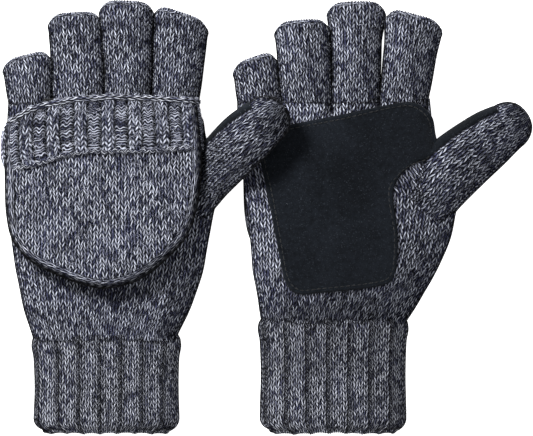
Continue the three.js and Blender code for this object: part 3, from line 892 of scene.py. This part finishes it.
def make_stitches(mitten, outline):
    """A row of sewn stitches just inside the palm patch's edge, each a short bent thread."""
    line = outline + unit(outline.mean(axis=0) - outline) * SEAM_INSET
    dense = respace(np.vstack([line, line[:1]]), 4000)
    count = round(length_of(dense) / SEAM_PITCH)
    vertices, faces = [], []
    sides, rings = 6, 5
    for i in range(count):
        where = (i + np.linspace(0.12, 0.88, rings)) / count * (len(dense) - 1)
        path = dense[where.astype(int)]
        direction = path[-1] - path[0]
        direction /= np.linalg.norm(direction)
        normal = np.array([-direction[1], direction[0]])
        height = palm_height(mitten, path[:, 0], path[:, 1]) - SUEDE - GAP - 0.1
        for k in range(rings):
            bow = math.sin(math.pi * k / (rings - 1))
            for a in np.linspace(0, math.tau, sides, endpoint=False):
                radius = 0.16 + 0.12 * bow
                side = path[k] + normal * radius * math.cos(a)
                vertices.append([side[0], side[1], height[k] - 0.12 * bow + radius * math.sin(a)])
        base = i * sides * rings
        for k in range(rings - 1):
            for a in range(sides):
                b = (a + 1) % sides
                q = base + k * sides
                faces.append([q + a, q + b, q + sides + b, q + sides + a])
    vertices = place(mitten, vertices)
    faces = np.array(faces)
    uvs = np.zeros((len(faces), 4, 2))
    piece = build(mitten, "palm_stitches", vertices, faces, uvs, THREAD_LOOK)
    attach(piece, f"{mitten['name']}_hand")


# ---- Hood ----
def hood_share(mitten):
    """The hood's width over that of the left hood, which the outlines are drawn for."""
    return mitten["hood"]["half"] / LEFT["hood"]["half"]


def hood_rim(mitten, count):
    """The hood's outline as evenly spread points."""
    share = hood_share(mitten)
    points = [[mitten["hood"]["x"] + (x - LEFT["hood"]["x"]) * share, y] for x, y in HOOD_RIM]
    rim = catmull(points, count)
    tangent = directions(rim)
    return rim + np.stack([tangent[:, 1], -tangent[:, 0]], axis=1) * RIM_OVERHANG


def swell(distance, top=HOOD_TOP, base=HOOD_BASE + KNIT):
    inner = 1 - np.clip(distance / HOOD_SOFTNESS, 0, 1)
    return base + (top - base) * (1 - inner**HOOD_SQUARENESS) ** (1 / HOOD_SQUARENESS)


def inside(points, outline):
    """Which points are inside a closed polyline."""
    x, y = points[:, 0], points[:, 1]
    within = np.zeros(len(points), bool)
    for (ax, ay), (bx, by) in zip(outline, np.roll(outline, -1, axis=0)):
        within ^= ((ay > y) != (by > y)) & (x < (bx - ax) * (y - ay) / (by - ay + 1e-12) + ax)
    return within


def signed_edge(mitten, points):
    """Distance inwards from the hood's rim, which is open at its mouth."""
    rim = hood_rim(mitten, 90)
    closed = np.vstack([rim, rim[-1] + [0, 60], rim[0] + [0, 60]])
    distance = edge_distance(points, closed)
    return np.where(inside(points, closed), distance, -distance)


def hood_sheet(mitten, name, y_low, y_high, inset, z_of, outwards, density=1.0,
               pattern=stocking, height=LEG_HEIGHT, material=YARN, below=2.0):
    """A flat panel of the hood, at the height z_of gives. It is cut along the hood's rim, and stops the
    given distance below the band's top edge, which is the hood's mouth."""
    wales = round(2 * HOOD_REACH / WALE)
    columns = round(wales * ACROSS * density)
    rows = round((y_high - y_low) / COURSE * ALONG * density)
    xs = mitten["hood"]["x"] + np.linspace(-HOOD_REACH, HOOD_REACH, columns + 1)
    ys = np.linspace(y_low, y_high, rows + 1)
    grid_x, grid_y = np.meshgrid(xs, ys)
    distance = signed_edge(mitten, np.stack([grid_x.ravel(), grid_y.ravel()], 1)).reshape(grid_x.shape)
    points = np.stack([grid_x, grid_y, z_of(np.maximum(distance, 0))], -1)
    u = np.tile(np.linspace(0, wales, columns + 1), (rows + 1, 1))
    v = grid_y / COURSE + 0.37
    middle = (distance[:-1, :-1] + distance[1:, 1:]) / 2
    wanted = middle > inset
    wanted &= (grid_y < band_edges(mitten, grid_x)[1] - below)[:-1, :-1]
    if outwards < 0:
        points, u, v, wanted = points[:, ::-1], u[:, ::-1], v[:, ::-1], wanted[:, ::-1]
    return knitted(mitten, name, points, u, v, pattern, height, material, keep=wanted)


def make_rim(mitten):
    """Fully fashioned edge: wales that follow the rim, from its underside up onto the hood."""
    rim = hood_rim(mitten, 2000)
    rim = rim[rim[:, 1] < band_edges(mitten, rim[:, 0])[1] - 2]
    rows = round(length_of(rim) / COURSE * ALONG)
    rim = respace(rim, rows + 1)
    tangent = directions(rim)
    inward = np.stack([-tangent[:, 1], tangent[:, 0]], axis=1)
    columns = RIM_WALES * ACROSS
    base = HOOD_BASE + KNIT
    under, over = np.radians(np.linspace(-70, 0, 20)), np.radians(np.linspace(0, 84, 90))[1:]
    inset = HOOD_SOFTNESS * (1 - np.cos(over) ** (2 / HOOD_SQUARENESS))
    z = base + (HOOD_TOP - base) * np.sin(over) ** (2 / HOOD_SQUARENESS)
    z += 0.2 + 0.5 * np.exp(-(((inset - 2.6) / 1.6) ** 2))
    profile = np.vstack(
        [np.stack([3.4 * (1 - np.cos(under)), base + 2.4 * np.sin(under)], 1), np.stack([inset, z], 1)]
    )
    profile = respace(profile, columns + 1)
    points = rim[:, None, :] + inward[:, None, :] * profile[None, :, :1]
    points = np.concatenate([points, np.tile(profile[None, :, 1:], (len(rim), 1, 1))], axis=2)
    u, v = stitch_rows(RIM_WALES, columns, np.arange(rows + 1) / ALONG / RIM_STRETCH)
    # The rim's yarn is painted lighter to stand for light falling on the rim.
    piece = knitted(mitten, "hood_rim", points, u, v, stocking, LEG_HEIGHT, RIM_YARN_FLECKED_AND_PAINTED_LIT)
    tuple(place(mitten, [0, 0, HOOD_BASE + 1.0]))
    tuple(place(mitten, [0, 0, HOOD_TOP]))
    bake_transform(piece)


def make_hood(mitten):
    name = mitten["name"]
    front = hood_sheet(mitten, "hood_knit", -40, 62, 4.3, swell, 1)
    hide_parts(f"{name}_hood_front")
    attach(front, f"{name}_pocket")
    make_rim(mitten)

    back = hood_sheet(
        mitten, "hood_back_knit", -40, 66, 0.6, lambda d: HOOD_BASE + 0.2 + 0 * d, -1, 0.67, below=0.3
    )
    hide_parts(f"{name}_hood_back")
    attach(back, f"{name}_hood")
    make_hood_lining(mitten)
    return front


def make_hood_lining(mitten):
    """Fleece under the hood's front and over its back."""
    name = mitten["name"]
    fleece = (0.5, purl, 0.3, FLEECE_LOOK)
    ceiling = hood_sheet(mitten, "hood_fleece", -34, 60, 6, lambda d: HOOD_TOP - 2.1 + 0 * d, -1, *fleece)
    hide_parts(f"{name}_hood_lining")
    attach(ceiling, f"{name}_pocket")
    bed = hood_sheet(mitten, "hood_back_fleece", -34, 62, 3, lambda d: HOOD_BASE + 2.1 + 0 * d, 1, *fleece)
    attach(bed, f"{name}_hood")


def band_section(mitten, count):
    """The rib band's closed-over profile, from one side of the hood to the other, as x and z."""
    share = hood_share(mitten)
    left = mitten["hood"]["x"] - 55.7 * share
    right = mitten["hood"]["x"] + 55.4 * share
    top = HOOD_TOP + GAP + KNIT - 0.4
    a = np.radians(np.linspace(-35, 90, 60))
    inset = BAND_CORNER * (1 - np.cos(a))
    z = HOOD_BASE + KNIT + (top - HOOD_BASE - KNIT) * np.where(a < 0, 0.4 * np.sin(a), np.sin(a))
    profile = np.vstack([np.stack([left + inset, z], 1), np.stack([right - inset, z], 1)[::-1]])
    return respace(profile, count)


def band_edges(mitten, x):
    """The band's lower and upper edge across the hood."""
    share = hood_share(mitten)
    at = LEFT["hood"]["x"] + (x - mitten["hood"]["x"]) / share
    return spline(BAND_BOTTOM, at), spline(BAND_TOP, at)


def band_end(mitten, x, y, low, high):
    """The band's x at height y: its ends are drawn in at the little finger's corners and at the top."""
    t = np.clip((y - low) / (high - low), 0, 1)
    middle = mitten["hood"]["x"]
    drawn = np.where(x < middle, 0.06 * np.abs(2 * t - 1) ** 4, 0.045 * t**2)
    return middle + (x - middle) * (1 - drawn)


def make_band(mitten):
    """The turned-back rib, with its folded top edge and its looped lower edge."""
    name = mitten["name"]
    columns = BAND_WALES * ACROSS
    profile = band_section(mitten, columns + 1)
    x, z = profile[:, 0], profile[:, 1]
    low, high = band_edges(mitten, x)
    u = BAND_RIB_START + np.linspace(0, BAND_WALES, columns + 1)
    low = low + 0.7 * np.cos(math.tau * u)
    count = round(BAND_DEPTH / COURSE * ALONG * 2)
    hem, fold = np.radians(np.linspace(-150, -10, 6)), np.radians(np.linspace(12, 180, 9))
    rows = [(low, -0.9 * BAND_EDGE * (1 - math.cos(a)), 0.5) for a in hem]
    rows += [(low + (high - low) * t, 0, 1) for t in np.linspace(0, 1, count + 1)]
    rows += [(high + BAND_FOLD * math.sin(a), -BAND_FOLD * (1 - math.cos(a)), 0.8) for a in fold]
    rows += [(high - back, -2 * BAND_FOLD, 0.3) for back in (3, 6, 9)]
    flat = np.clip((z - HOOD_BASE) / 6, 0, 1)
    points = np.array(
        [np.column_stack([band_end(mitten, x, y, low, high), y, z + drop * flat]) for y, drop, _ in rows]
    )
    run = run_along(points[:, columns // 2])
    u = np.tile(u, (len(rows), 1))
    v = np.tile((run / COURSE)[:, None], (1, columns + 1))
    height = RIB_HEIGHT * np.array([share for _, _, share in rows])[:, None] * np.ones((1, columns + 1))
    piece = knitted(mitten, "band_rib", points, u, v, band_rib, height, BAND_YARN)
    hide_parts(f"{name}_rib_band")
    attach(piece, f"{name}_pocket")

    top = np.column_stack([band_end(mitten, x, high, low, high), high + 0.4, z + 0.3])
    make_chain(mitten, "band_chain", top, 1.5, CHAIN_STITCH, "pocket", RIB_YARN)
    bottom = np.column_stack([band_end(mitten, x, low, low, high), low - 0.3, z - 0.3])
    make_chain(mitten, "band_loops", bottom, 1.0, CHAIN_STITCH, "pocket", RIB_YARN)
    return piece


def make_chain(mitten, name, path, radius, stitch, body, yarn):
    """A chain of linked loops along a path: a round cord with a plaited relief."""
    cells = round(length_of(path) / stitch)
    path = respace(path, cells * 8 + 1)
    run = np.arange(len(path)) / 8
    path[:, 1] += 0.45 * drift(len(name) + 11, run, 0 * run, 4)
    path[:, 2] += 0.25 * drift(len(name) + 12, run, 0 * run, 4)
    tangent = directions(path)
    lift = unit(np.cross(tangent, [0.0, 1.0, 0.0]))
    side = np.cross(tangent, lift)
    columns = 18
    angle = np.linspace(0, math.tau, columns, endpoint=False)
    plait = 0.8 + 0.3 * np.abs(np.sin(math.pi * (run[:, None] + 0.5 * np.cos(angle)[None, :])))
    points = path[:, None, :] + radius * plait[..., None] * (
        np.cos(angle)[None, :, None] * lift[:, None, :] + np.sin(angle)[None, :, None] * side[:, None, :]
    )
    u, v = stitch_rows(3, columns, run)
    piece = knitted(mitten, name, points, u, v, stocking, 0.5, yarn, closed=True)
    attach(piece, f"{mitten['name']}_{body}")
    return piece


# ---- Loose fibres ----
def make_fuzz(mitten, name, sources, count, body):
    """Fine hairs that lie over the yarn: flat strands, each arched, turned and curled at random."""
    rng = np.random.default_rng(FUZZ_SEED)
    places, normals = [], []
    for piece in sources:
        size = 3 * len(piece.data.vertices)
        for kind, into in (("co", places), ("normal", normals)):
            values = np.empty(size)
            piece.data.vertices.foreach_get(kind, values)
            into.append(values.reshape(-1, 3))
    places, normals = np.vstack(places), np.vstack(normals)
    chosen = rng.integers(0, len(places), count)
    root, up = places[chosen, None], normals[chosen, None]
    heading = unit(np.cross(up, rng.normal(size=(count, 1, 3))))
    side = np.cross(up, heading)
    s = np.linspace(0, 1, 5)[None, :, None]
    length = rng.uniform(*FUZZ_LENGTH, (count, 1, 1)) / 1000
    lift = rng.uniform(*FUZZ_LIFT, (count, 1, 1)) / 1000
    curl = rng.uniform(-1.4, 1.4, (count, 1, 1))
    bend = heading * (s - 0.5) + side * curl * (s - 0.5) ** 2
    path = root + up * lift * np.sin(math.pi * s) + length * bend
    tilt = rng.uniform(0, math.pi, (count, 1, 1))
    width = (side * np.cos(tilt) + up * np.sin(tilt)) * FUZZ_WIDTH / 2000
    taper = 1 - 0.8 * np.abs(2 * s - 1) ** 3
    ribbons = np.stack([path - width * taper, path + width * taper], axis=2)
    first = (np.arange(count)[:, None] * 10 + np.arange(4)[None, :] * 2).ravel()
    faces = np.stack([first, first + 1, first + 3, first + 2], axis=1)
    uvs = np.zeros((len(faces), 4, 2))
    piece = build(mitten, name, ribbons, faces, uvs, FIBRE_LOOK)
    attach(piece, f"{mitten['name']}_{body}")
    return piece


# ---- Carried-over pieces ----
def dress(node, material):
    """A better material for a CAD piece whose shape is right."""
    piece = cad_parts[node]
    piece.data.materials.clear()
    piece.data.materials.append(material)


def make_mitten(mitten):
    hand_pieces = [make_hand(mitten), make_cuff(mitten), make_thumb(mitten)]
    finger_pieces = []
    for name in mitten["fingers"]:
        finger_pieces += make_finger(mitten, name)
    make_hand_lining(mitten)
    make_palm(mitten)
    hood_pieces = [make_hood(mitten), make_band(mitten)]
    make_fuzz(mitten, "hand_fuzz", hand_pieces, HAND_HAIRS, "hand")
    gather(mitten, make_fuzz(mitten, "finger_fuzz", finger_pieces, FINGER_HAIRS, "hand"))
    make_fuzz(mitten, "hood_fuzz", hood_pieces, HOOD_HAIRS, "pocket")
    dress(f"{mitten['name']}_knuckle_seam", THREAD_LOOK)
    dress(f"{mitten['name']}_hook_tab", TAPE_LOOK)
    dress(f"{mitten['name']}_loop_tab", TAPE_LOOK)


# ---- Studio ----
def area_light(name, position, size, power):
    data = bpy.data.lights.new(name, "AREA")
    data.shape = "DISK"
    data.size = size
    data.energy = power
    light = add_object(name, data)
    light.location = position
    light.rotation_euler = (-Vector(position)).to_track_quat("-Z", "Y").to_euler()


def make_studio():
    floor_mesh = bpy.data.meshes.new("floor")
    half = 3.0
    corners = [(-half, -half, 0), (half, -half, 0), (half, half, 0), (-half, half, 0)]
    floor_mesh.from_pydata(corners, [], [(0, 1, 2, 3)])
    floor_mesh.materials.append(plain_floor())
    floor = add_object("floor", floor_mesh)
    floor.location.z = -0.0015

    world = bpy.data.worlds.new("studio")
    bpy.context.scene.world = world
    world.use_nodes = True
    background = world.node_tree.nodes["Background"]
    background.inputs["Color"].default_value = (1, 1, 1, 1)
    background.inputs["Strength"].default_value = 0.43
    area_light("key", (-0.62, 0.72, 0.95), 0.4, 22.5)
    area_light("fill", (0.6, -0.4, 1.0), 0.9, 1.5)

    camera_data = bpy.data.cameras.new("camera")
    camera_data.sensor_width = 36
    distance = 2.4
    frame_width = 0.2961
    camera_data.lens = camera_data.sensor_width * distance / frame_width
    camera_data.clip_end = 20
    camera = add_object("camera", camera_data)
    camera.location = (0, 0, distance + 0.02)
    bpy.context.scene.camera = camera
    bpy.context.scene.view_settings.view_transform = "Standard"


make_mitten(LEFT)
make_mitten(RIGHT)
make_studio()
